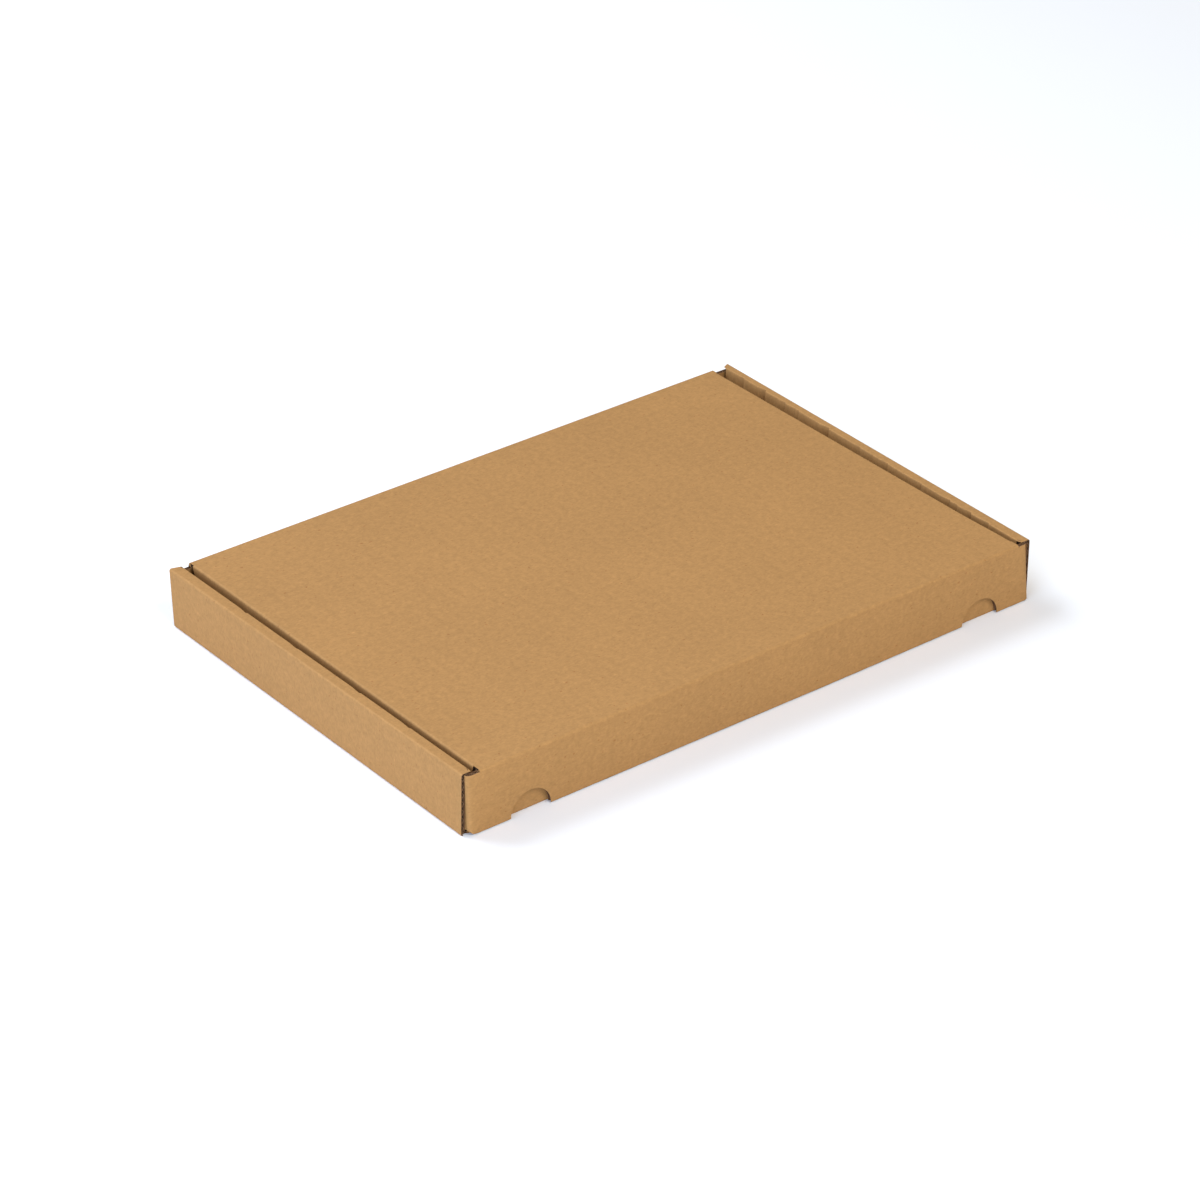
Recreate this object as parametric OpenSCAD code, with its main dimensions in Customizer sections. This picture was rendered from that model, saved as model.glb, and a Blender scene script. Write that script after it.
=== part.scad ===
// Mailer box for large letters, folded from one sheet of thin corrugated board.
// Millimetres, Z up, origin at the middle of the underside, front towards -Y.
// The tray has rolled side walls that lock in slots of the base. The lid folds
// down from the rear wall with a dust flap on each side, and its front flap
// closes over the outside of the front wall.

/* [Box] */
// Outer length, left to right
box_length = 250; // [180:1:360]
// Outer depth with the front flap closed
box_depth = 164.5; // [110:0.5:260]
// Outer height
box_height = 23.7; // [18:0.1:60]

/* [Board] */
// Thickness of the corrugated board
board = 1.5; // [1:0.1:2.5]
// Radius on the inside of a folded edge
fold_inside_radius = 0.2; // [0.1:0.1:1.5]
// Gap left between two layers that lie against each other
layer_gap = 0.15; // [0.1:0.05:0.4]
// Gap between the round end of a crease and the cup it turns in
crease_gap = 0.1; // [0.05:0.05:0.2]

/* [Rolled side walls] */
// Play of a corner flap between the two layers of a side wall
roll_play = 0.15; // [0.1:0.05:1]
// Distance from an end of the inner layer to the wall it points at
roll_end_gap = 0.8; // [0.3:0.1:3]
// Length of a locking tab under the inner layer
tab_length = 30; // [15:1:50]
// Distance between the middles of the two tabs on one side
tab_spacing = 78; // [60:1:100]
// Clearance of a tab in its slot
slot_gap = 0.2; // [0.1:0.05:0.5]
// Height of a tab's tip above the underside of the base
tab_recess = 0.2; // [0.1:0.1:0.6]
// Size of the cut corners at a tab's tip
tab_corner_cut = 1; // [0.3:0.1:1.2]

/* [Corner flaps] */
// Length of a corner flap, measured from the wall it hangs on
corner_flap_length = 45; // [20:1:50]
// Slope at the free end of a corner flap
corner_flap_taper = 5; // [1:0.5:8]

/* [Lid] */
// Gap between the lid and the inner layer of a side wall
lid_side_gap = 2.3; // [1:0.1:4]
// Height of a dust flap's lower edge above the base
dust_flap_floor_gap = 3; // [1.5:0.5:8]
// Distance from the front wall to a dust flap
dust_flap_front_gap = 1.1; // [0.8:0.1:10]
// Distance from the rear wall to a dust flap
dust_flap_rear_gap = 2.5; // [1:0.1:10]
// Slope at both ends of a dust flap
dust_flap_taper = 5; // [1:0.5:12]

/* [Front flap] */
// Distance from the end of the flap to the side of the box
flap_side_inset = 1.9; // [0.8:0.1:6]
// Height of the flap's lower edge above the ground
flap_ground_gap = 0.4; // [0.2:0.1:3]
// Size of the cut at each lower corner of the flap
flap_corner_cut = 1.5; // [0.5:0.1:6]
// Height of the flap's ends above the middle of the crease
flap_shoulder_rise = 0.3; // [0:0.05:0.4]
// Radius of a thumb notch
notch_radius = 8.3; // [5:0.1:14]
// Height of a thumb notch above the flap's lower edge
notch_height = 8.1; // [3:0.1:12]
// Distance between the middles of the two thumb notches
notch_spacing = 199; // [80:1:220]
// Distance of the pair of notches from the middle of the flap, to the right
notch_shift = 1.6; // [0:0.1:5]

/* [Hidden] */
$fn = 48;

half_length = box_length / 2;
fold = fold_inside_radius + board;
// Length over which a fold's section runs on into a panel
lap = board / 2;

front_face = -box_depth / 2;
rear_face = box_depth / 2;
wall_front = front_face + board + layer_gap;
wall_inside = wall_front + board;
rear_inside = rear_face - board;

roll_width = 3 * board + 2 * roll_play;
roll_inside = half_length - roll_width;
roll_front = wall_inside + roll_end_gap;
roll_rear = rear_inside - roll_end_gap;

corner_face = half_length - board - roll_play;
corner_fold = corner_face - fold;
under_strip = box_height - fold - layer_gap;
above_fold = fold + layer_gap;

lid_half = roll_inside - lid_side_gap;
lid_plate_half = lid_half - fold_inside_radius;
lid_under = box_height - board;
wall_top = lid_under - layer_gap;
dust_front = wall_inside + dust_flap_front_gap;
dust_rear = rear_inside - dust_flap_rear_gap;

crease_height = box_height - board / 2;
rear_crease = rear_face - board / 2;
front_crease = front_face + board / 2;
crease_round = board / 2;
crease_cup = crease_round + crease_gap;

flap_half = half_length - flap_side_inset;
shoulder_height = crease_height + flap_shoulder_rise;
shoulder_start = lid_plate_half + layer_gap;
notch_middle = flap_ground_gap + notch_height - notch_radius;

// A box between two opposite corners
module block(low, high) {
    translate(low)
        cube(high - low);
}

// A flat shape in X and Z, drawn out along Y
module along_y(from, to) {
    translate([0, to, 0])
        rotate([90, 0, 0])
            linear_extrude(to - from)
                children();
}

// A flat shape in Y and Z, drawn out along X
module along_x(from, to) {
    translate([from, 0, 0])
        rotate([90, 0, 90])
            linear_extrude(to - from)
                children();
}

// A quarter turn of board about a centre, on the side that the signs point to
module bend(centre, side) {
    translate(centre)
        intersection() {
            difference() {
                circle(fold);
                circle(fold_inside_radius);
            }
            translate([side[0] < 0 ? -fold : 0, side[1] < 0 ? -fold : 0])
                square(fold);
        }
}

// A round bar along X, for the ends and cups of the creases
module crease_bar(y, radius, half) {
    translate([-half, y, crease_height])
        rotate([0, 90, 0])
            cylinder(h = 2 * half, r = radius);
}

module both_sides() {
    children();
    mirror([1, 0, 0])
        children();
}

module both_tabs() {
    for (side = [-1, 1])
        translate([0, side * tab_spacing / 2, 0])
            children();
}

module base_panel() {
    difference() {
        block([-(half_length - fold), wall_front + fold, 0],
              [half_length - fold, rear_face - fold, board]);
        both_sides()
            both_tabs()
                block([roll_inside - slot_gap, -(tab_length / 2 + slot_gap), -board],
                      [roll_inside + board + slot_gap, tab_length / 2 + slot_gap, 2 * board]);
    }
}

// Outer layer and top strip of one side wall, up to the fold of the inner layer
module roll_outer_section() {
    bend([half_length - fold, fold], [1, -1]);
    translate([half_length - board, fold])
        square([board, box_height - 2 * fold]);
    bend([half_length - fold, box_height - fold], [1, 1]);
    translate([roll_inside + fold, box_height - board])
        square([roll_width - 2 * fold, board]);
    bend([roll_inside + fold, box_height - fold], [-1, 1]);
}

// Tab at the lower edge of the inner layer, with cut corners at its tip
module locking_tab() {
    top = board + 2 * layer_gap;
    along_x(roll_inside, roll_inside + board)
        polygon([
            [-tab_length / 2 + tab_corner_cut, tab_recess],
            [tab_length / 2 - tab_corner_cut, tab_recess],
            [tab_length / 2, tab_recess + tab_corner_cut],
            [tab_length / 2, top],
            [-tab_length / 2, top],
            [-tab_length / 2, tab_recess + tab_corner_cut]
        ]);
}

// One side wall: board up, over the strip and down again to the base
module rolled_wall() {
    along_y(wall_front, rear_face)
        roll_outer_section();
    along_y(wall_front + fold, rear_face - fold) {
        bend([half_length - fold, fold], [1, -1]);
        translate([half_length - fold - lap, 0])
            square([lap, board]);
    }
    along_y(roll_front, roll_rear) {
        bend([roll_inside + fold, box_height - fold], [-1, 1]);
        translate([roll_inside, board + layer_gap])
            square([board, box_height - fold - board - layer_gap]);
    }
    both_tabs()
        locking_tab();
}

// Fold at a wall's end, in plan, with the start of the wall and of its corner flap
module corner_fold_plan(face, turn) {
    bend([corner_fold, face - turn * fold], [1, turn]);
    translate([corner_fold - lap, turn < 0 ? face : face - board])
        square([lap, board]);
    translate([corner_face - board, turn < 0 ? face + fold : face - fold - lap])
        square([board, lap]);
}

// Corner flap of a wall, with the free end sloped to slide into the side wall
module corner_flap(from, to) {
    slope = to > from ? corner_flap_taper : -corner_flap_taper;
    along_x(corner_face - board, corner_face)
        polygon([
            [from, above_fold],
            [to - slope, above_fold],
            [to, above_fold + corner_flap_taper],
            [to, under_strip - corner_flap_taper],
            [to - slope, under_strip],
            [from, under_strip]
        ]);
}

module front_wall() {
    along_x(-corner_fold, corner_fold) {
        bend([wall_front + fold, fold], [-1, -1]);
        translate([wall_front + fold, 0])
            square([lap, board]);
        translate([wall_front, fold])
            square([board, under_strip - fold]);
    }
    block([-lid_plate_half, wall_front, fold], [lid_plate_half, wall_inside, wall_top]);
    both_sides() {
        translate([0, 0, above_fold])
            linear_extrude(under_strip - above_fold)
                corner_fold_plan(wall_front, -1);
        corner_flap(wall_front + fold, wall_front + corner_flap_length);
    }
}

module rear_wall() {
    along_x(-corner_fold, corner_fold) {
        bend([rear_face - fold, fold], [1, -1]);
        translate([rear_face - fold - lap, 0])
            square([lap, board]);
        translate([rear_inside, fold])
            square([board, under_strip - fold]);
    }
    difference() {
        block([-lid_plate_half, rear_inside, fold], [lid_plate_half, rear_face, crease_height]);
        crease_bar(rear_crease, crease_cup, half_length);
        block([-half_length, rear_inside - board, crease_height - crease_cup],
              [half_length, rear_crease, box_height]);
    }
    both_sides() {
        translate([0, 0, above_fold])
            linear_extrude(under_strip - above_fold)
                corner_fold_plan(rear_face, 1);
        corner_flap(rear_face - fold, rear_face - corner_flap_length);
    }
}

module tray() {
    color("burlywood") {
        base_panel();
        both_sides()
            rolled_wall();
        front_wall();
        rear_wall();
    }
}

// Dust flap that hangs from one side of the lid, inside the side wall
module dust_flap() {
    low = board + dust_flap_floor_gap;
    high = box_height - fold;
    intersection() {
        along_y(dust_front, dust_rear) {
            bend([lid_half - fold, high], [1, 1]);
            translate([lid_half - fold - lap, lid_under])
                square([lap, board]);
            translate([lid_half - board, low])
                square([board, high - low]);
        }
        along_x(lid_half - fold - 2 * board, lid_half + board)
            polygon([
                [dust_front, box_height + board],
                [dust_front, high],
                [dust_front + dust_flap_taper, low],
                [dust_rear - dust_flap_taper, low],
                [dust_rear, high],
                [dust_rear, box_height + board]
            ]);
    }
}

module lid() {
    color("tan") {
        difference() {
            union() {
                block([-lid_plate_half, front_crease, lid_under],
                      [lid_plate_half, dust_front, box_height]);
                block([-(lid_half - fold), front_crease, lid_under],
                      [lid_half - fold, rear_crease, box_height]);
                block([-lid_plate_half, dust_rear, lid_under],
                      [lid_plate_half, rear_crease, box_height]);
            }
            crease_bar(front_crease, crease_cup, half_length);
            block([-half_length, front_face, lid_under - board],
                  [half_length, front_crease + crease_cup, crease_height]);
        }
        crease_bar(rear_crease, crease_round, lid_plate_half);
        both_sides()
            dust_flap();
    }
}

// Outline of the front flap with its two thumb notches and cut lower corners
module flap_outline() {
    difference() {
        polygon([
            [-flap_half + flap_corner_cut, flap_ground_gap],
            [flap_half - flap_corner_cut, flap_ground_gap],
            [flap_half, flap_ground_gap + flap_corner_cut],
            [flap_half, shoulder_height],
            [shoulder_start, shoulder_height],
            [shoulder_start, crease_height],
            [-shoulder_start, crease_height],
            [-shoulder_start, shoulder_height],
            [-flap_half, shoulder_height],
            [-flap_half, flap_ground_gap + flap_corner_cut]
        ]);
        for (side = [-1, 1])
            translate([notch_shift + side * notch_spacing / 2, notch_middle])
                circle(notch_radius);
    }
}

// The flap's ends turn back where their ears fold into the side walls
module flap_plan() {
    translate([-(flap_half - board), front_face])
        square([2 * (flap_half - board), board]);
    for (side = [-1, 1])
        intersection() {
            translate([side * (flap_half - board), front_face + board])
                circle(board);
            translate([side > 0 ? flap_half - board : -flap_half, front_face])
                square(board);
        }
}

module front_flap() {
    color("peru") {
        intersection() {
            along_y(front_face - board, front_face + 2 * board)
                flap_outline();
            linear_extrude(box_height)
                flap_plan();
        }
        crease_bar(front_crease, crease_round, lid_plate_half);
    }
}

tray();
lid();
front_flap();
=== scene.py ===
"""Looks of the corrugated mailer box: folded board with true folds, cut edges and kraft paper."""
import math

import bmesh
import bpy
import numpy as np
from mathutils import Matrix, Vector


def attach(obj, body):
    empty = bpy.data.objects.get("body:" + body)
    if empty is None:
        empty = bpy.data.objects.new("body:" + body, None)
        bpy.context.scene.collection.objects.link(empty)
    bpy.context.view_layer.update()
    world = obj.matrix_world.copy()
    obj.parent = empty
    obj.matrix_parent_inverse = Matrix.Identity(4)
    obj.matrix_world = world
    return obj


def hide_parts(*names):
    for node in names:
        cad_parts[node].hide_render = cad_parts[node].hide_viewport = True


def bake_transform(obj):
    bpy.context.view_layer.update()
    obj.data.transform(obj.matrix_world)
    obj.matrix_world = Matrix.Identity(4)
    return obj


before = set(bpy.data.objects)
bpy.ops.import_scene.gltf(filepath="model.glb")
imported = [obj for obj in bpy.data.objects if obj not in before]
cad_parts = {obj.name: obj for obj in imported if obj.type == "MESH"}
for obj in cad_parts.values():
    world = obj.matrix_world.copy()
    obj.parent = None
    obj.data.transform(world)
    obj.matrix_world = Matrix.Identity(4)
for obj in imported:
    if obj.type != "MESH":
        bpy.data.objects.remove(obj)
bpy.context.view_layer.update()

MM = 0.001
# Numbers this close are the same, and places this close touch
NEAR, TOUCH = 1e-6, 0.01

# Sizes of the box in millimetres, as the solids have them
LENGTH, DEPTH, HEIGHT = 250.0, 164.5, 23.7
BOARD = 1.5
FOLD_IN = 0.2
FOLD = FOLD_IN + BOARD
LAYER_GAP = 0.15
ROLL_PLAY = 0.15
ROLL_END_GAP = 0.8
TAB_LENGTH, TAB_SPACING, TAB_CUT = 30.0, 78.0, 1.0
SLOT_GAP, TAB_RECESS = 0.2, 0.2
CORNER_FLAP, CORNER_TAPER = 45.0, 5.0
LID_SIDE_GAP = 2.3
DUST_FLOOR_GAP, DUST_FRONT_GAP, DUST_REAR_GAP, DUST_TAPER = 3.0, 0.6, 1.4, 5.0
FLAP_INSET, FLAP_GROUND_GAP, SHOULDER_RISE = 1.9, 0.4, 0.3
NOTCH_R, NOTCH_H, NOTCH_SPACING, NOTCH_SHIFT = 8.3, 8.1, 199.0, 1.6

HALF = LENGTH / 2
FRONT, REAR = -DEPTH / 2, DEPTH / 2
WALL_FRONT = FRONT + BOARD + LAYER_GAP
WALL_INSIDE = WALL_FRONT + BOARD
REAR_INSIDE = REAR - BOARD
ROLL_WIDTH = 3 * BOARD + 2 * ROLL_PLAY
ROLL_INSIDE = HALF - ROLL_WIDTH
ROLL_FRONT, ROLL_REAR = WALL_INSIDE + ROLL_END_GAP, REAR_INSIDE - ROLL_END_GAP
CORNER_FACE = HALF - BOARD - ROLL_PLAY
UNDER_STRIP = HEIGHT - FOLD - LAYER_GAP
ABOVE_FOLD = FOLD + LAYER_GAP
LID_HALF = ROLL_INSIDE - LID_SIDE_GAP
PLATE_HALF = LID_HALF - FOLD_IN
WALL_TOP = HEIGHT - BOARD - LAYER_GAP
DUST_FRONT, DUST_REAR = WALL_INSIDE + DUST_FRONT_GAP, REAR_INSIDE - DUST_REAR_GAP
AXIS_Z = HEIGHT - BOARD / 2
FLAP_HALF = HALF - FLAP_INSET
NOTCH_Z = FLAP_GROUND_GAP + NOTCH_H - NOTCH_R
SHOULDER = PLATE_HALF + LAYER_GAP
CORNER_CUT = (1.8, 0.8)

# Radii that show on the folds: the board is crushed there, so they are tighter than its thickness
ROUND = 0.8
ROUND_IN = 0.08
ROUND_LAYER = 0.35
CREASE = {-1: 1.0, 1: 1.15}
CREASE_IN = 0.08
EAR_IN = 0.03

# Cut edges: paper thickness of a liner, depth that shows, pitch of the flutes
LINER = 0.22
EDGE_DEPTH = 0.6
FLUTE_PITCH = 3.2
FLUTE_STEP = 0.4
FLUTE_DEPTH = 0.12
MEDIUM = 0.18

# Small departures from square in millimetres, as the photo shows them. Each pair is the front and the
# rear value, or the left and the right one, or for the flap's right end the top and the bottom one
FRONT_LEAN = (0.0, 0.3)
LEFT_OUTER, LEFT_INNER = (0.0, -1.4), (-0.7, -1.7)
RIGHT_OUTER, RIGHT_INNER = (-0.1, -0.5), (0.4, 1.4)
LID_LEFT = (0.9, 0.7)
LID_RIGHT = (0.5, -1.3)
FRONT_BULGE, FRONT_RISE = 0.2, 0.45
FLAP_STAND = (-0.45, 0.15)
FLAP_RIGHT = (-1.6, 1.7)
# Share of the rolled walls' rear step that their top strips already take
REAR_SLANT = 0.45

# Where these departures set in and are full: distance from the middle, place along the box, or height
WALL_EASE = (110.0, 118.4)
LID_EASE = (95.0, 117.0)
CREASE_END_EASE = (LID_HALF, 119.0)
FRONT_EASE = (-62.0, -76.0)
BULGE_EASE = (-50.0, -78.0)
LIFT_EASE = (10.0, 22.0)
STAND_EASE = (20.0, 120.0)
SLANT_EASE = (117.5, FLAP_HALF)
# The rear wall's top follows the lid this close to the rear face, from this far below the strips
TIE_DEPTH, TIE_HEIGHT = 4.0, 3.0
# The rolled walls' inner layers step back at their ends over this length
END_EASE = 6.0

# Buckles of the inner layers: place along the box and depth. Each has a sharp front and a long, soft rear
RIGHT_DENTS = ((-63.2, 0.5), (-54, 0.7), (-47, 0.4), (-43, 0.6), (-28, 0.4), (-10, 0.5), (5, 0.35),
               (22.5, 0.9), (39, 0.4), (41, 0.4), (46.7, 0.5), (50.6, 0.35), (58, 1.0), (70, 0.4))
LEFT_DENTS = ((-48, 0.3), (-21, 0.4), (14, 0.3), (43, 0.4))
DENT_FRONT, DENT_REAR = 0.7, 4.0
DENT_HEIGHTS = (2.0, 12.0)
DENT_LAYERS = (ROLL_INSIDE + BOARD + 0.6, ROLL_INSIDE + 0.4)
WALL_SHIFTS = {-1: (LEFT_INNER, LEFT_OUTER, LEFT_DENTS), 1: (RIGHT_INNER, RIGHT_OUTER, RIGHT_DENTS)}

# Camera: place in millimetres, azimuth, height and roll in degrees, focal length in pixels of the frame
CAMERA_PLACE = (-886.03, -1067.61, 835.77)
CAMERA_TURN = (39.60667, 30.90566, -1.41222)
FOCAL_PIXELS, FRAME_PIXELS = 4649.39, 1200
SENSOR = 36.0

# Half the floor's width, in metres
FLOOR_REACH = 6.0

# Tint of the darker, redder flecks in the paper
FLECK = (0.72, 0.52, 0.42)

# Largest cell of the grids, and the flat row beside a fold that keeps the shading crisp
CELL = 2.0
TAUT = 0.4
TURN = [math.radians(15 * i) for i in range(7)]
CREASE_TURN = [math.radians(11.25 * i) for i in range(9)]
NOTCH_STEPS = 24

# Kinds of face, in the order of the materials
LINER_FACE, CUT_FACE, SHADE_FACE, MEDIUM_FACE = range(4)


def stations(low, high, *wanted, cell=CELL):
    """Numbers from low to high, no more than a cell apart, with each wanted one among them."""
    marks = sorted({round(m, 4) for m in (low, high, *wanted) if low <= m <= high})
    out = [marks[0]]
    for a, b in zip(marks, marks[1:]):
        n = max(1, math.ceil((b - a) / cell - NEAR))
        out += [a + (b - a) * (i + 1) / n for i in range(n)]
    return out


def smooth(low, high, value):
    """0 below low, 1 above high, and a soft step between them. low may be the larger one."""
    t = min(1.0, max(0.0, (value - low) / (high - low)))
    return t * t * (3 - 2 * t)


def rounded(corner, come, go, angle, radius=ROUND, radius_in=ROUND_IN):
    """Outer and inner place on a square fold, 2-D. come and go are the ways the sheet runs."""
    spots = []
    for r, off in ((radius, 0), (radius_in, BOARD)):
        spots.append([corner[k] + (go[k] - come[k]) * (off + r)
                      + r * (come[k] * math.sin(angle) - go[k] * math.cos(angle)) for k in (0, 1)])
    return spots


def unit(vector):
    """The vector at length one, or as it is where it has no length."""
    size = np.linalg.norm(vector)
    return vector / size if size > NEAR else vector


def on_crease(place):
    """Whether a place is where the lid's crushed folds join the boards beside them."""
    x, y, z = place
    return abs(x) < PLATE_HALF + TOUCH and any(
        max(abs(y - end * DEPTH / 2), HEIGHT - z) < CREASE[end] + TOUCH for end in (-1, 1))


class Board:
    """A folded sheet: quads that each have an outer and an inner face, closed at the cut edges."""

    def __init__(self):
        self.keys, self.outer, self.inner, self.flat, self.quads = {}, [], [], [], []

    def corner(self, outer, inner, flat):
        """Number of a corner: equal places are one corner. flat may end with how much lighter the paper is
        made there, for rubbed paper and a painted highlight on the folds.
        """
        key = tuple(round(c, 2) for c in (*outer, *inner))
        if key not in self.keys:
            self.keys[key] = len(self.outer)
            self.outer.append(outer)
            self.inner.append(inner)
            self.flat.append(flat if len(flat) > 2 else (*flat, 0.0))
        elif len(flat) > 2:
            spot = self.keys[key]
            self.flat[spot] = (*self.flat[spot][:2], max(flat[2], self.flat[spot][2]))
        return self.keys[key]

    def patch(self, us, vs, point, keep=None):
        """Adds a grid of quads. point(u, v) gives a corner's outer, inner and flat place."""
        grid = {}
        for i in range(len(us) - 1):
            for j in range(len(vs) - 1):
                if keep and not keep((us[i] + us[i + 1]) / 2, (vs[j] + vs[j + 1]) / 2):
                    continue
                quad = []
                for a, b in ((i, j), (i + 1, j), (i + 1, j + 1), (i, j + 1)):
                    if (a, b) not in grid:
                        grid[a, b] = self.corner(*point(us[a], vs[b]))
                    if grid[a, b] not in quad:
                        quad.append(grid[a, b])
                if len(quad) > 2:
                    self.quads.append(quad)

    def free_edges(self):
        """For each corner at a free edge, the corners it leads to and the direction into the board."""
        edges = {}
        for quad in self.quads:
            for a, b in zip(quad, quad[1:] + quad[:1]):
                edges.setdefault(frozenset((a, b)), []).append((a, b, quad))
        place = np.array(self.outer) * 0.5 + np.array(self.inner) * 0.5
        towards, inward = {}, {}
        for pair in edges.values():
            if len(pair) > 1:
                continue
            a, b, quad = pair[0]
            along = unit(place[b] - place[a])
            into = place[quad].mean(0) - (place[a] + place[b]) / 2
            into = unit(into - along * (into @ along))
            for corner, other in ((a, b), (b, a)):
                towards.setdefault(corner, []).append(other)
                inward[corner] = inward.get(corner, 0) + into
        return towards, {corner: unit(into) for corner, into in inward.items()}

    def rims(self):
        """Closed runs of the free edges, each as a list of (corner, direction into the board)."""
        towards, inward = self.free_edges()
        runs, used = [], set()
        for start in sorted(towards):
            for first in towards[start]:
                if frozenset((start, first)) in used:
                    continue
                run, here, after = [start], start, first
                while True:
                    used.add(frozenset((here, after)))
                    run.append(after)
                    onward = [n for n in towards[after] if frozenset((after, n)) not in used]
                    if not onward:
                        break
                    here, after = after, onward[0]
                if run[0] == run[-1]:
                    run.pop()
                runs.append([(corner, inward[corner]) for corner in run])
        return runs

    def mesh(self, name, materials, warp):
        """Makes the object. warp moves a place."""
        skin = Skin([warp(p) for p in self.outer], [warp(p) for p in self.inner], self.flat,
                    [on_crease(p) for p in self.outer])
        for quad in self.quads:
            skin.faces.append(tuple(quad))
            skin.faces.append(tuple(skin.count + c for c in reversed(quad)))
            skin.kinds += [LINER_FACE] * 2
        for rim in self.rims():
            skin.cut_edge(rim)
            skin.flutes(rim)
        return skin.make(name, materials)


class Skin:
    """The mesh of a board while it is built: places, their spots on the flat sheet, faces and kinds."""

    def __init__(self, outer, inner, flat, joined):
        self.outer, self.inner, self.flat = np.array(outer), np.array(inner), np.array(flat, float)
        self.joined = joined
        self.count = len(outer)
        self.places = [*self.outer, *self.inner]
        self.sheet = [(f[0], f[1], 0.0) for f in flat] + [(f[0], f[1], BOARD) for f in flat]
        self.faces, self.kinds = [], []

    def add(self, place, flat, depth):
        self.places.append(place)
        self.sheet.append((flat[0], flat[1], depth))
        return len(self.places) - 1

    def cut_edge(self, rim):
        """Closes a free edge with the ends of both liners and a pocket between them. The pocket's back takes
        the dark flute_shade colour, painted shade.
        """
        share = LINER / BOARD
        chains = []
        for c, into in rim:
            push = into * (0 if self.joined[c] else EDGE_DEPTH)
            steps = []
            for t, deep in ((share, 0), (share, 1), (1 - share, 1), (1 - share, 0)):
                place = self.outer[c] * (1 - t) + self.inner[c] * t + push * deep
                steps.append(self.add(place, self.flat[c], BOARD * t))
            chains.append([c, *steps, self.count + c])
        for a, b in zip(chains, chains[1:] + chains[:1]):
            plain = self.joined[a[0]] and self.joined[b[0]]
            for k in range(5):
                self.faces.append((a[k], b[k], b[k + 1], a[k + 1]))
                self.kinds.append(LINER_FACE if plain else SHADE_FACE if k == 2 else CUT_FACE)

    def flutes(self, rim):
        """A wavy ribbon of medium between the liners, along one cut edge, in a colour darkened as painted
        shade.
        """
        wave = (BOARD - 2 * LINER - MEDIUM) / 2
        rows = []
        for (a, into_a), (b, into_b) in zip(rim, rim[1:] + rim[:1]):
            if self.joined[a] or self.joined[b]:
                rows.append(None)
                continue
            span = np.linalg.norm((self.outer[b] + self.inner[b] - self.outer[a] - self.inner[a]) / 2)
            steps = max(1, round(span / FLUTE_STEP))
            for t in (step / steps for step in range(steps)):
                top = self.outer[a] * (1 - t) + self.outer[b] * t
                low = self.inner[a] * (1 - t) + self.inner[b] * t
                into = into_a * (1 - t) + into_b * t
                across = (low - top) / BOARD
                flat = self.flat[a] * (1 - t) + self.flat[b] * t
                shift = wave * math.sin(2 * math.pi * flat[0] / FLUTE_PITCH)
                corners = ((FLUTE_DEPTH, -1), (FLUTE_DEPTH, 1), (EDGE_DEPTH, 1), (EDGE_DEPTH, -1))
                rows.append([self.add((top + low) / 2 + into * depth + across * (shift + side * MEDIUM / 2),
                                      flat, BOARD / 2) for depth, side in corners])
        for a, b in zip(rows, rows[1:] + rows[:1]):
            if a and b:
                self.faces += [(a[k], b[k], b[(k + 1) % 4], a[(k + 1) % 4]) for k in range(4)]
                self.kinds += [MEDIUM_FACE] * 4
            elif a or b:
                self.faces.append(tuple(a or b))
                self.kinds.append(MEDIUM_FACE)

    def make(self, name, materials):
        """The object, with each corner's flat place and its lightening for rubbed paper and painted highlight
        on the folds, kept for the paper.
        """
        data = bpy.data.meshes.new(name)
        data.from_pydata([tuple(float(c) * MM for c in p) for p in self.places], [], self.faces)
        data.update()
        for material in materials:
            data.materials.append(material)
        data.polygons.foreach_set("material_index", self.kinds)
        attribute = data.attributes.new("sheet", "FLOAT_VECTOR", "POINT")
        attribute.data.foreach_set("vector", [float(c) * MM for spot in self.sheet for c in spot])
        wear_and_highlight = [f[2] for f in self.flat] * 2
        attribute = data.attributes.new("wear_and_highlight", "FLOAT", "POINT")
        attribute.data.foreach_set("value", wear_and_highlight + [0.0] * (len(self.places) - len(wear_and_highlight)))
        closed(data)
        obj = bpy.data.objects.new(name, data)
        bpy.context.scene.collection.objects.link(obj)
        return obj


def closed(data):
    """Outward normals, smooth faces and sharp cut edges."""
    work = bmesh.new()
    work.from_mesh(data)
    bmesh.ops.recalc_face_normals(work, faces=work.faces)
    work.to_mesh(data)
    work.free()
    data.polygons.foreach_set("use_smooth", [True] * len(data.polygons))
    data.set_sharp_from_angle(angle=math.radians(32))


def along(y, front, rear):
    """Straight change from the front of the box to the rear."""
    return front + (rear - front) * min(1.0, max(0.0, (y - FRONT) / DEPTH))


def across(x):
    """0 at the lid's left edge, 1 at its right edge."""
    return min(1.0, max(0.0, (x + PLATE_HALF) / (2 * PLATE_HALF)))


def front_lean(x, y, z):
    """The front edge of the box leans in at the top, more on the right."""
    left, right = FRONT_LEAN
    return (left + (right - left) * across(x)) * z / HEIGHT * smooth(*FRONT_EASE, y)


def lid_shift(x, y):
    """Sideways shift of the lid's left and right edge, which aren't quite square."""
    if x < 0:
        return -along(y, *LID_LEFT) * smooth(*LID_EASE, -x)
    return along(y, *LID_RIGHT) * smooth(*LID_EASE, x)


def wrinkle(y, marks):
    """Small dents where the inner layer of a side wall buckled as it was rolled."""
    depth = 0.0
    for place, size in marks:
        rise = max(0.0, 1 + (y - place) / DENT_FRONT) if y < place else max(0.0, 1 - (y - place) / DENT_REAR)
        depth = max(depth, size * rise)
    return depth


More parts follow.
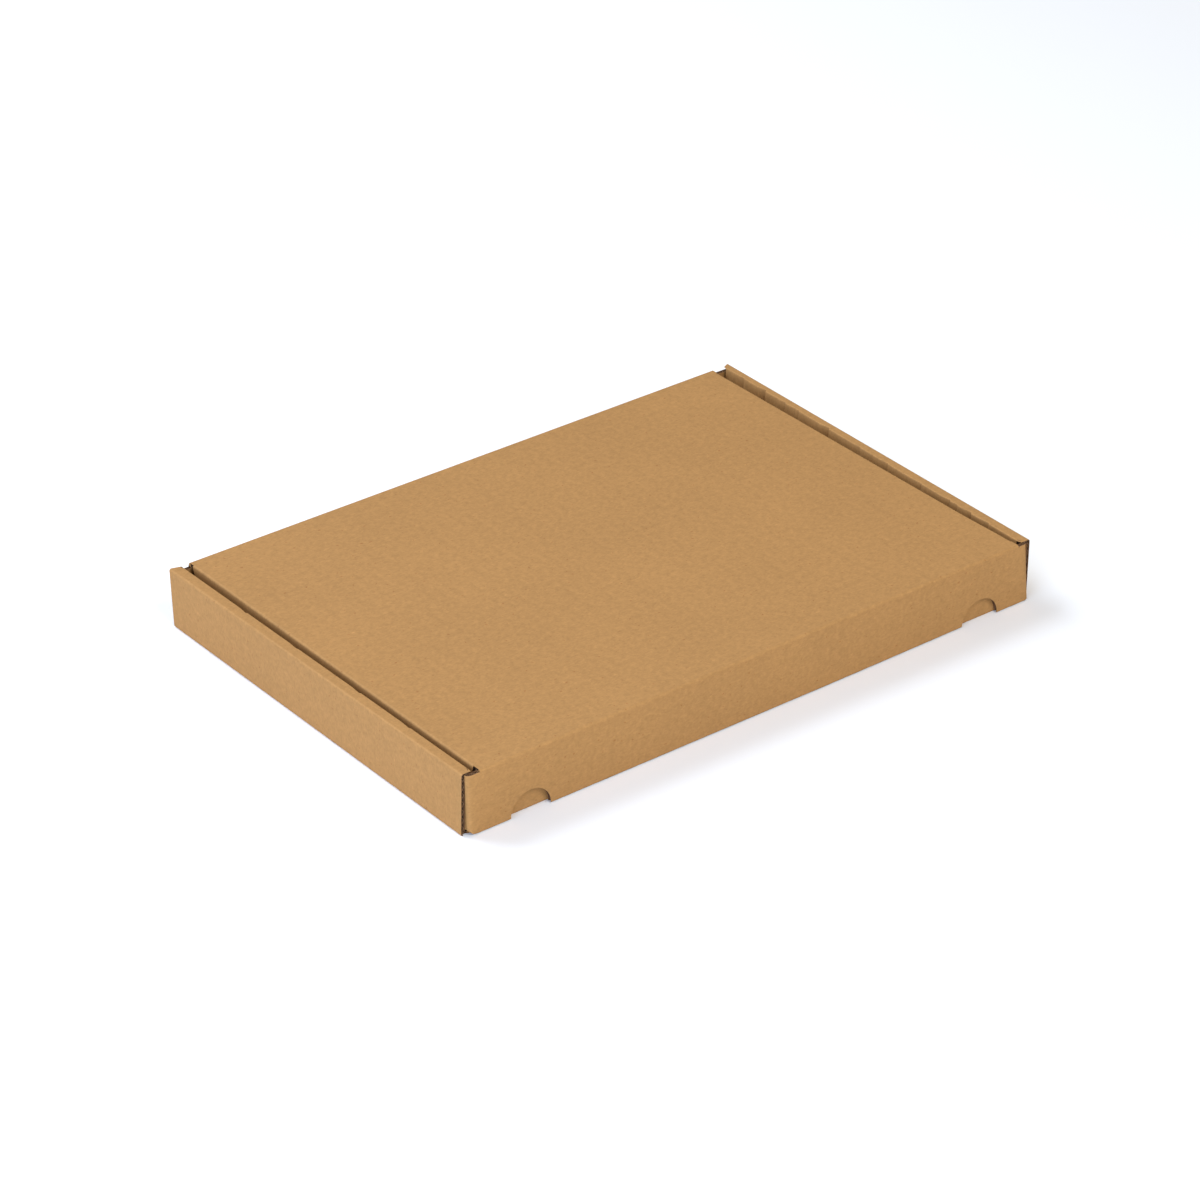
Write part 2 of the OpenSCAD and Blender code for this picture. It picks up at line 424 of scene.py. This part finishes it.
def tray_warp(p):
    """The side walls lean and bulge a little, as they do on the box in the photo."""
    x, y, z = p
    side, far = (-1 if x < 0 else 1), abs(x)
    share = z / HEIGHT
    outward = min(1.0, max(0.0, (far - ROLL_INSIDE) / ROLL_WIDTH))
    inner, outer, dents = WALL_SHIFTS[side]
    shift = along(y, *inner) * (1 - outward) + along(y, *outer) * outward
    shift *= share * smooth(*WALL_EASE, far)
    if y > REAR - TIE_DEPTH and far < ROLL_INSIDE - 0.5:
        tie = smooth(UNDER_STRIP - TIE_HEIGHT, HEIGHT - CREASE[1], z) * (1 - smooth(*CREASE_END_EASE, far))
        shift = shift * (1 - tie) + lid_shift(x, y) * tie
    if ROLL_INSIDE - 1 < far < DENT_LAYERS[0] and z > DENT_HEIGHTS[0]:
        fade = smooth(*DENT_HEIGHTS, z) * smooth(*DENT_LAYERS, far)
        ends = smooth(WALL_INSIDE, WALL_INSIDE + END_EASE, y) * smooth(REAR_INSIDE, REAR_INSIDE - END_EASE, y)
        shift += side * wrinkle(y, dents) * fade * ends
    return x + shift, y + front_lean(x, y, z), z


def lid_warp(p):
    """The lid's edges aren't quite square, and its front edge bulges a little."""
    x, y, z = p
    share, t = z / HEIGHT, across(x)
    bulge = (4 * FRONT_BULGE * t * (1 - t) + FRONT_RISE * t) * smooth(*BULGE_EASE, y)
    return x + lid_shift(x, y) * share, y + front_lean(x, y, z), z + bulge * share * smooth(*LIFT_EASE, z)


def flap_warp(p):
    """The front flap stands off a little at its lower edge, and its right end is slanted."""
    x, y, z = lid_warp(p)
    share = p[2] / HEIGHT
    left, right = FLAP_STAND
    top, bottom = FLAP_RIGHT
    stand = left + (right - left) * smooth(*STAND_EASE, p[0])
    slant = (bottom + (top - bottom) * share) * smooth(*SLANT_EASE, p[0])
    return x + slant, y + stand * (1 - share), z


def tray_board():
    """Base, walls, corner flaps and rolled side walls, one folded sheet."""
    board = Board()
    y0, y1 = WALL_FRONT + ROUND, REAR - ROUND
    tab = [s * TAB_SPACING / 2 + e * (TAB_LENGTH / 2 + g)
           for s in (-1, 1) for e in (-1, 1) for g in (0, SLOT_GAP)]
    dents = [place + off for place, _ in (*RIGHT_DENTS, *LEFT_DENTS)
             for off in (-DENT_FRONT, 0, DENT_REAR / 2)]
    ys = stations(y0, y1, *tab, *dents)
    edge_x = HALF - ROUND
    slot = (ROLL_INSIDE - SLOT_GAP, ROLL_INSIDE + BOARD + SLOT_GAP)
    corner_x = CORNER_FACE - ROUND
    xs = stations(-edge_x, edge_x, *[s * m for s in (-1, 1) for m in (*slot, corner_x, PLATE_HALF)])

    def in_slot(x, y):
        near = min(abs(y - TAB_SPACING / 2), abs(y + TAB_SPACING / 2))
        return slot[0] < abs(x) < slot[1] and near < TAB_LENGTH / 2 + SLOT_GAP

    def base(x, y):
        pull = BOARD + ROUND_IN - ROUND
        xi = x - math.copysign(pull * smooth(edge_x - 1, edge_x, abs(x)), x)
        yi = y
        if abs(x) < corner_x + NEAR:
            yi += pull * smooth(y0 + 1, y0, y) - pull * smooth(y1 - 1, y1, y)
        return (x, y, 0), (xi, yi, BOARD), (x, y)

    board.patch(xs, ys, base, keep=lambda x, y: not in_slot(x, y))
    walls(board, [x for x in xs if abs(x) < corner_x + NEAR], y0, y1)
    for side in (-1, 1):
        rolled_wall(board, side, ys)
    return board


def walls(board, xs, y0, y1):
    """Front and rear wall, each with its corner flaps."""
    for end, edge, top in ((-1, y0, WALL_TOP), (1, y1, HEIGHT - CREASE[1])):
        face = WALL_FRONT if end < 0 else REAR

        def bottom(x, a, end=end, edge=edge, face=face):
            spots = [(x, y, z) for y, z in rounded((face, 0), (end, 0), (0, 1), a)]
            return *spots, (x, edge + end * ROUND * a)

        board.patch(xs, TURN, bottom)
        zs = stations(ROUND, top, ABOVE_FOLD, UNDER_STRIP)

        def upright(x, z, end=end, edge=edge, face=face):
            flat = (x, edge + end * (ROUND * math.pi / 2 + z - ROUND))
            xi, zi = x, z
            if z < ROUND + NEAR:
                zi = BOARD + ROUND_IN
            elif z > HEIGHT - CREASE[1] - NEAR:
                zi = HEIGHT - BOARD - CREASE_IN
            if abs(x) > xs[-1] - NEAR and ABOVE_FOLD - NEAR < z < UNDER_STRIP + NEAR:
                xi = x - math.copysign(BOARD + ROUND_IN - ROUND, x)
            return (x, face, z), (xi, face - end * BOARD, zi), flat

        board.patch(xs, zs, upright, keep=lambda x, z: abs(x) < PLATE_HALF or z < UNDER_STRIP)
        flap_zs = [z for z in zs if ABOVE_FOLD - NEAR < z < UNDER_STRIP + NEAR]
        corner_flaps(board, end, edge, face, flap_zs)


def corner_flaps(board, end, edge, face, zs):
    """The folds at a wall's ends and the flaps that lie inside the side walls."""
    middle = (zs[0] + zs[-1]) / 2
    narrow = 1 - 2 * CORNER_TAPER / (zs[-1] - zs[0])
    reach = CORNER_FLAP - ROUND
    for side in (-1, 1):
        def flat(run, z, side=side):
            return side * (CORNER_FACE - ROUND + run), edge + end * (ROUND * math.pi / 2 + z - ROUND)

        def corner(a, z, side=side):
            spots = [(x, y, z) for x, y in rounded((side * CORNER_FACE, face), (side, 0), (0, -end), a)]
            return *spots, flat(ROUND * a, z)

        def flap(run, z, side=side):
            left = reach - run
            share = 1 if left > CORNER_TAPER else narrow + (1 - narrow) * left / CORNER_TAPER
            z = middle + (z - middle) * share
            y = face - end * (ROUND + run)
            inner = face - end * (BOARD + ROUND_IN) if run < NEAR else y
            spots = (side * CORNER_FACE, y, z), (side * (CORNER_FACE - BOARD), inner, z)
            return *spots, flat(ROUND * math.pi / 2 + run, z)

        board.patch(TURN, zs, corner)
        board.patch(stations(0, reach, reach - CORNER_TAPER), zs, flap)


def roll_profile():
    """Section of a side wall from the base to the tabs: rows of (outer, inner, sheet length, lightening of
    the paper on the folds for rubbed paper and painted highlight).
    """
    rows, run = [], HALF - ROUND
    folds = (((HALF, 0), (1, 0), (0, 1), ROUND, HEIGHT - 2 * ROUND),
             ((HALF, HEIGHT), (0, 1), (-1, 0), ROUND, ROLL_WIDTH - ROUND - ROUND_LAYER),
             ((ROLL_INSIDE, HEIGHT), (-1, 0), (0, -1), ROUND_LAYER, HEIGHT - ROUND_LAYER - TAB_RECESS))
    for number, (corner, come, go, radius, reach) in enumerate(folds):
        for a in TURN:
            # The folds' paper is made a little lighter: rubbed paper and a painted highlight
            rows.append((*rounded(corner, come, go, a, radius), run + radius * a, 0.1 * math.sin(2 * a)))
        run += radius * math.pi / 2
        marks = [reach - (BOARD + LAYER_GAP - TAB_RECESS), reach - TAB_CUT] if number == 2 else []
        tight = BOARD + ROUND_IN - radius
        for s in stations(0, reach, TAUT, reach - TAUT, *marks)[1:]:
            if number < 2 and s > reach - NEAR or TAUT < s < BOARD:
                continue
            out = [corner[k] + go[k] * (radius + s) for k in (0, 1)]
            far_end = reach if number > 1 else reach - BOARD - (reach - s) / 10
            deep = radius + min(max(s, tight + s / 10), far_end)
            inner = (corner[0] + go[0] * deep - go[1] * BOARD, corner[1] + go[1] * deep + go[0] * BOARD)
            rows.append((out, inner, run + s, 0.0))
        run += reach
    return rows


def rolled_wall(board, side, ys):
    """One side wall, rolled over the corner flaps, with its locking tabs."""
    profile = roll_profile()
    cols = [WALL_FRONT, *ys, REAR]
    layer_start = next(r[2] for r in profile if r[0][0] < ROLL_INSIDE + ROUND_LAYER + NEAR)
    layer_full = layer_start + ROUND_LAYER * math.pi / 2
    top_start = layer_start - (ROLL_WIDTH - ROUND - ROUND_LAYER)
    tab_top = BOARD + LAYER_GAP

    def off_tab(y):
        return min((y - s * TAB_SPACING / 2 for s in (-1, 1)), key=abs)

    def point(i, y):
        (x, z), (xi, zi), length, wear_and_highlight = profile[int(i)]
        share = min(1, max(0, (length - layer_start) / (layer_full - layer_start)))
        if y > 0:
            share = max(REAR_SLANT * min(1, max(0, (length - top_start) / (layer_start - top_start))), share)
        short = float(np.interp(y, (WALL_FRONT, WALL_FRONT + END_EASE, REAR - END_EASE, REAR),
                                (ROLL_FRONT, WALL_FRONT + END_EASE, REAR - END_EASE, ROLL_REAR)))
        shown = y + (short - y) * share
        if length > layer_full and z < TAB_RECESS + TAB_CUT - NEAR:
            shown -= off_tab(y) * (TAB_RECESS + TAB_CUT - z) / (TAB_LENGTH / 2)
        return (side * x, shown, z), (side * xi, shown, zi), (side * length, y, wear_and_highlight)

    def keep(i, y):
        row = profile[math.ceil(i)]
        if row[2] < layer_full or row[0][1] > tab_top - NEAR:
            return True
        return abs(off_tab(y)) < TAB_LENGTH / 2

    board.patch(list(range(len(profile))), cols, point, keep=keep)


def lid_board():
    """The lid's panel and its two dust flaps."""
    board = Board()
    front, rear = FRONT + CREASE[-1], REAR - CREASE[1]
    low = BOARD + DUST_FLOOR_GAP
    edge_x = LID_HALF - ROUND
    xs = stations(-PLATE_HALF, PLATE_HALF, -edge_x, edge_x, TAUT - edge_x, edge_x - TAUT)
    ys = stations(front, rear, front + TAUT, rear - TAUT, DUST_FRONT, DUST_REAR)

    def plate(x, y):
        first, last = (BOARD + CREASE_IN - CREASE[end] for end in (-1, 1))
        inner = min(max(y, front + first + (y - front) / 10), rear - last - (rear - y) / 10)
        pull = BOARD + ROUND_IN - ROUND if DUST_FRONT - NEAR < y < DUST_REAR + NEAR else 0
        xi = x - math.copysign(pull * smooth(edge_x - 1, edge_x, abs(x)), x)
        return (x, y, HEIGHT), (xi, inner, HEIGHT - BOARD), (x, y)

    board.patch(xs, ys, plate, keep=lambda x, y: abs(x) < edge_x or not DUST_FRONT < y < DUST_REAR)
    dust = [y for y in ys if DUST_FRONT - NEAR < y < DUST_REAR + NEAR]
    top = HEIGHT - ROUND
    for side in (-1, 1):
        def fold(a, y, side=side):
            spots = [(x, y, z) for x, z in rounded((side * LID_HALF, HEIGHT), (side, 0), (0, -1), a)]
            return *spots, (side * (edge_x + ROUND * a), y)

        def hang(z, y, side=side):
            slope = DUST_TAPER * (top - z) / (top - low)
            long = DUST_REAR - DUST_FRONT
            y = DUST_FRONT + slope + (y - DUST_FRONT) * (long - 2 * slope) / long
            flat = (side * (edge_x + ROUND * math.pi / 2 + top - z), y)
            inner = HEIGHT - BOARD - ROUND_IN if z > top - NEAR else z
            return (side * LID_HALF, y, z), (side * (LID_HALF - BOARD), y, inner), flat

        board.patch(TURN, dust, fold)
        board.patch(stations(low, top), dust, hang)
    return board


def flap_bottom(x):
    """Height of the front flap's lower edge, with the thumb notches and the cut corners."""
    z = FLAP_GROUND_GAP
    for side in (-1, 1):
        off = x - (NOTCH_SHIFT + side * NOTCH_SPACING / 2)
        if abs(off) < NOTCH_R:
            z = max(z, NOTCH_Z + math.sqrt(NOTCH_R ** 2 - off ** 2))
    cut = CORNER_CUT[0] if x < 0 else CORNER_CUT[1]
    return max(z, FLAP_GROUND_GAP + cut - (FLAP_HALF - abs(x)))


def front_flap_board():
    """The front flap, with the start of the ears that turn back at its ends."""
    board = Board()
    marks = [s * m for s in (-1, 1) for m in (PLATE_HALF, SHOULDER, FLAP_HALF - BOARD)]
    start = math.asin((FLAP_GROUND_GAP - NOTCH_Z) / NOTCH_R)
    for side in (-1, 1):
        middle = NOTCH_SHIFT + side * NOTCH_SPACING / 2
        for k in range(NOTCH_STEPS + 1):
            angle = start + (math.pi - 2 * start) * k / NOTCH_STEPS
            marks.append(middle + NOTCH_R * math.cos(angle))
        marks += [middle - NOTCH_R, middle + NOTCH_R]
    xs = stations(-(FLAP_HALF - BOARD), FLAP_HALF - BOARD, *marks)
    top, shoulder = HEIGHT - CREASE[-1], AXIS_Z + SHOULDER_RISE
    # Shares of the height up to the fold, then the shoulder beside the fold
    rows = [i / 10 for i in range(10)] + [0.98, 1.0, 2.0]

    def spot(x, row):
        low = flap_bottom(x)
        return shoulder if row > 1 else low + (top - low) * row

    def panel(x, row):
        z = inner = spot(x, row)
        if row <= 1 and abs(x) < PLATE_HALF + TOUCH:
            inner = min(z, HEIGHT - BOARD - CREASE_IN - (top - z) / 10)
        return (x, FRONT, z), (x, FRONT + BOARD, inner), (x, FRONT - (HEIGHT - z))

    board.patch(xs, rows, panel, keep=lambda x, row: row < 1 or abs(x) > SHOULDER)
    for side in (-1, 1):
        def ear(a, row, side=side):
            x = side * (FLAP_HALF - BOARD)
            z = spot(x + side * BOARD * math.sin(a), row)
            out = (x + side * BOARD * math.sin(a), FRONT + BOARD - BOARD * math.cos(a), z)
            pin = (x + side * EAR_IN * math.sin(a), FRONT + BOARD - EAR_IN * (1 - math.cos(a)), z)
            return out, pin, (x + side * BOARD * a, FRONT - (HEIGHT - z))
        board.patch([TURN[0], *TURN[2:]], rows, ear)
    return board


def crease_board(end):
    """The crushed fold at the lid's front (end -1) or rear (end 1)."""
    board = Board()
    face, radius = (FRONT if end < 0 else REAR), CREASE[end]
    xs = stations(-PLATE_HALF, PLATE_HALF, -(LID_HALF - ROUND), LID_HALF - ROUND)

    def fold(x, a):
        spots = [(x, y, z) for y, z in rounded((face, HEIGHT), (0, 1), (-end, 0), a, radius, CREASE_IN)]
        # The crease's middle is made lighter: rubbed paper and a painted highlight
        return *spots, (x, face + end * (radius * (math.pi / 2 - a) - radius), math.sin(2 * a) ** 2)

    board.patch(xs, CREASE_TURN, fold)
    return board


def socket(node, name, value):
    node.inputs[name].default_value = value


class Paper:
    """A material's nodes in the sheet's own flat coordinates."""

    def __init__(self, name):
        self.material = bpy.data.materials.new(name)
        self.material.use_nodes = True
        self.nodes = self.material.node_tree.nodes
        self.link = self.material.node_tree.links.new
        self.shader = self.nodes["Principled BSDF"]
        self.place = self.attribute("sheet").outputs["Vector"]

    def attribute(self, name):
        node = self.nodes.new("ShaderNodeAttribute")
        node.attribute_name = name
        return node

    def noise(self, x, y, scale, detail=3.0, rough=0.55):
        """Noise over the sheet, stretched along x or y where that number is below 1."""
        stretch = self.nodes.new("ShaderNodeVectorMath")
        stretch.operation = "MULTIPLY"
        self.link(self.place, stretch.inputs[0])
        stretch.inputs[1].default_value = (x, y, 1.0)
        node = self.nodes.new("ShaderNodeTexNoise")
        self.link(stretch.outputs[0], node.inputs["Vector"])
        socket(node, "Scale", scale)
        socket(node, "Detail", detail)
        socket(node, "Roughness", rough)
        return node.outputs["Fac"]

    def band(self, value, low, high, to_low, to_high):
        """The value's range from low to high, spread over another range and clamped to it."""
        node = self.nodes.new("ShaderNodeMapRange")
        self.link(value, node.inputs["Value"])
        for key, number in (("From Min", low), ("From Max", high), ("To Min", to_low), ("To Max", to_high)):
            socket(node, key, number)
        return node.outputs["Result"]

    def product(self, first, *others):
        for other in others:
            node = self.nodes.new("ShaderNodeMath")
            node.operation = "MULTIPLY"
            self.link(first, node.inputs[0])
            self.link(other, node.inputs[1])
            first = node.outputs[0]
        return first

    def flecked(self, share, colour):
        """The colour, with darker and redder flecks by the share."""
        mix = self.nodes.new("ShaderNodeMix")
        mix.data_type = "RGBA"
        self.link(share, mix.inputs[0])
        mix.inputs[6].default_value = (*colour, 1)
        mix.inputs[7].default_value = (*(c * f for c, f in zip(colour, FLECK)), 1)
        return mix.outputs[2]

    def tinted(self, colour, tone):
        tint = self.nodes.new("ShaderNodeVectorMath")
        tint.operation = "SCALE"
        self.link(colour, tint.inputs[0])
        self.link(tone, tint.inputs["Scale"])
        self.link(tint.outputs[0], self.shader.inputs["Base Color"])

    def roughened(self, height, strength, distance):
        bump = self.nodes.new("ShaderNodeBump")
        socket(bump, "Strength", strength)
        socket(bump, "Distance", distance)
        self.link(height, bump.inputs["Height"])
        self.link(bump.outputs["Normal"], self.shader.inputs["Normal"])


def kraft(name, colour):
    """Kraft paper: mottle, fibres, flecks, faint streaks along the flutes, and folds made lighter, partly
    rubbed paper and partly painted highlight.
    """
    paper = Paper(name)
    socket(paper.shader, "Roughness", 0.78)
    socket(paper.shader, "Specular IOR Level", 0.25)
    # Noise scales are per metre. Each band is the share of the colour that is left
    cloud = paper.band(paper.noise(1, 1, 22.0), 0.3, 0.7, 0.97, 1.03)
    mottle = paper.band(paper.noise(1, 1, 430.0, 4.0, 0.7), 0.3, 0.7, 0.9, 1.1)
    fibre = paper.band(paper.noise(0.5, 1, 1500.0, 2.0), 0.3, 0.7, 0.93, 1.07)
    streak = paper.band(paper.noise(1, 0.05, 300.0, 1.0), 0.3, 0.7, 0.985, 1.015)
    light = paper.band(paper.noise(0.5, 1, 700.0, 1.0), 0.24, 0.31, 1.1, 1.0)
    # Up to a tenth lighter along the folds: rubbed paper and a painted highlight
    wear_and_highlight_tone = paper.band(paper.attribute("wear_and_highlight").outputs["Fac"], 0.0, 1.0, 1.0, 1.1)
    fleck = paper.band(paper.noise(0.8, 1, 800.0, 1.0), 0.70, 0.76, 0.0, 0.6)
    tone = paper.product(cloud, mottle, fibre, streak, light, wear_and_highlight_tone)
    paper.tinted(paper.flecked(fleck, colour), tone)
    paper.roughened(mottle, 0.35, 0.00004)
    return paper.material


def linear(*levels):
    """Linear colour from sRGB levels out of 255, for levels above 10."""
    return tuple(((level / 255 + 0.055) / 1.055) ** 2.4 for level in levels)


def board_materials():
    liner = kraft("kraft_liner", linear(169, 125, 73))
    # The cut ends of the liners, the back of the flute pocket and the medium are painted darker than the
    # liner: painted shade of the flute channels and narrow gaps
    cut = kraft("cut_liner", linear(110, 78, 50))
    shade = kraft("flute_shade", linear(44, 29, 19))
    medium = kraft("medium", linear(126, 94, 64))
    return [liner, cut, shade, medium]


def camera():
    """Long lens at the left front corner, 31 degrees above the floor."""
    azimuth, height, roll = (math.radians(angle) for angle in CAMERA_TURN)
    level = Vector((math.sin(azimuth), math.cos(azimuth), 0)) * math.cos(height)
    ahead = level - Vector((0, 0, math.sin(height)))
    right = ahead.cross(Vector((0, 0, 1))).normalized()
    down = ahead.cross(right)
    turned = right * math.cos(roll) + down * math.sin(roll)
    below = down * math.cos(roll) - right * math.sin(roll)
    data = bpy.data.cameras.new("camera")
    data.sensor_fit = "HORIZONTAL"
    data.sensor_width = SENSOR
    data.lens = FOCAL_PIXELS / FRAME_PIXELS * SENSOR
    data.clip_end = 50
    view = bpy.data.objects.new("camera", data)
    matrix = Matrix((turned, -below, -ahead)).transposed().to_4x4()
    matrix.translation = Vector(CAMERA_PLACE) * MM
    view.matrix_world = matrix
    bpy.context.scene.collection.objects.link(view)
    bpy.context.scene.camera = view


def area_light(name, place, size, power, colour):
    """A soft light that faces the box."""
    data = bpy.data.lights.new(name, "AREA")
    data.shape = "RECTANGLE"
    data.size, data.size_y = size
    data.energy = power
    data.color = colour
    light = bpy.data.objects.new(name, data)
    light.location = place
    light.rotation_euler = (Vector((0, 0, 0.02)) - Vector(place)).to_track_quat("-Z", "Y").to_euler()
    bpy.context.scene.collection.objects.link(light)


def floor():
    """A wide pale floor."""
    data = bpy.data.meshes.new("floor")
    corners = [(x * FLOOR_REACH, y * FLOOR_REACH, 0) for x, y in ((-1, -1), (1, -1), (1, 1), (-1, 1))]
    data.from_pydata(corners, [], [(0, 1, 2, 3)])
    plane = bpy.data.objects.new("floor", data)
    bpy.context.scene.collection.objects.link(plane)
    paint = bpy.data.materials.new("floor_paint")
    paint.use_nodes = True
    shader = paint.node_tree.nodes["Principled BSDF"]
    socket(shader, "Base Color", (0.94, 0.93, 0.9, 1))
    socket(shader, "Roughness", 0.9)
    data.materials.append(paint)


def studio():
    """Three soft lights, a cool one on the left, and a pale sky. Metres and watts."""
    floor()
    area_light("left", (-1.1, -0.5, 0.45), (0.9, 0.7), 8.7, (0.8, 1.0, 1.42))
    area_light("front", (0.0, -1.0, 1.05), (0.9, 0.7), 11.5, (0.97, 1.0, 1.04))
    area_light("back", (-0.5, 1.1, 1.2), (1.2, 1.2), 25.5, (0.9, 1.0, 1.17))
    world = bpy.data.worlds.new("sky")
    world.use_nodes = True
    back = world.node_tree.nodes["Background"]
    socket(back, "Color", (1, 0.93, 0.84, 1))
    socket(back, "Strength", 0.3)
    bpy.context.scene.world = world
    bpy.context.scene.view_settings.view_transform = "Standard"


def main():
    camera()
    studio()
    materials = board_materials()
    tray = tray_board().mesh("tray_board", materials, tray_warp)
    lid = lid_board().mesh("lid_board", materials, lid_warp)
    flap = front_flap_board().mesh("front_flap_board", materials, flap_warp)
    rear = crease_board(1).mesh("rear_crease", materials, lid_warp)
    front = crease_board(-1).mesh("front_crease", materials, flap_warp)
    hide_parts("tray")
    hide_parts("lid")
    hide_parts("front_flap")
    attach(tray, "tray")
    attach(lid, "lid")
    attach(flap, "front_flap")
    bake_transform(rear)
    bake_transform(front)


main()
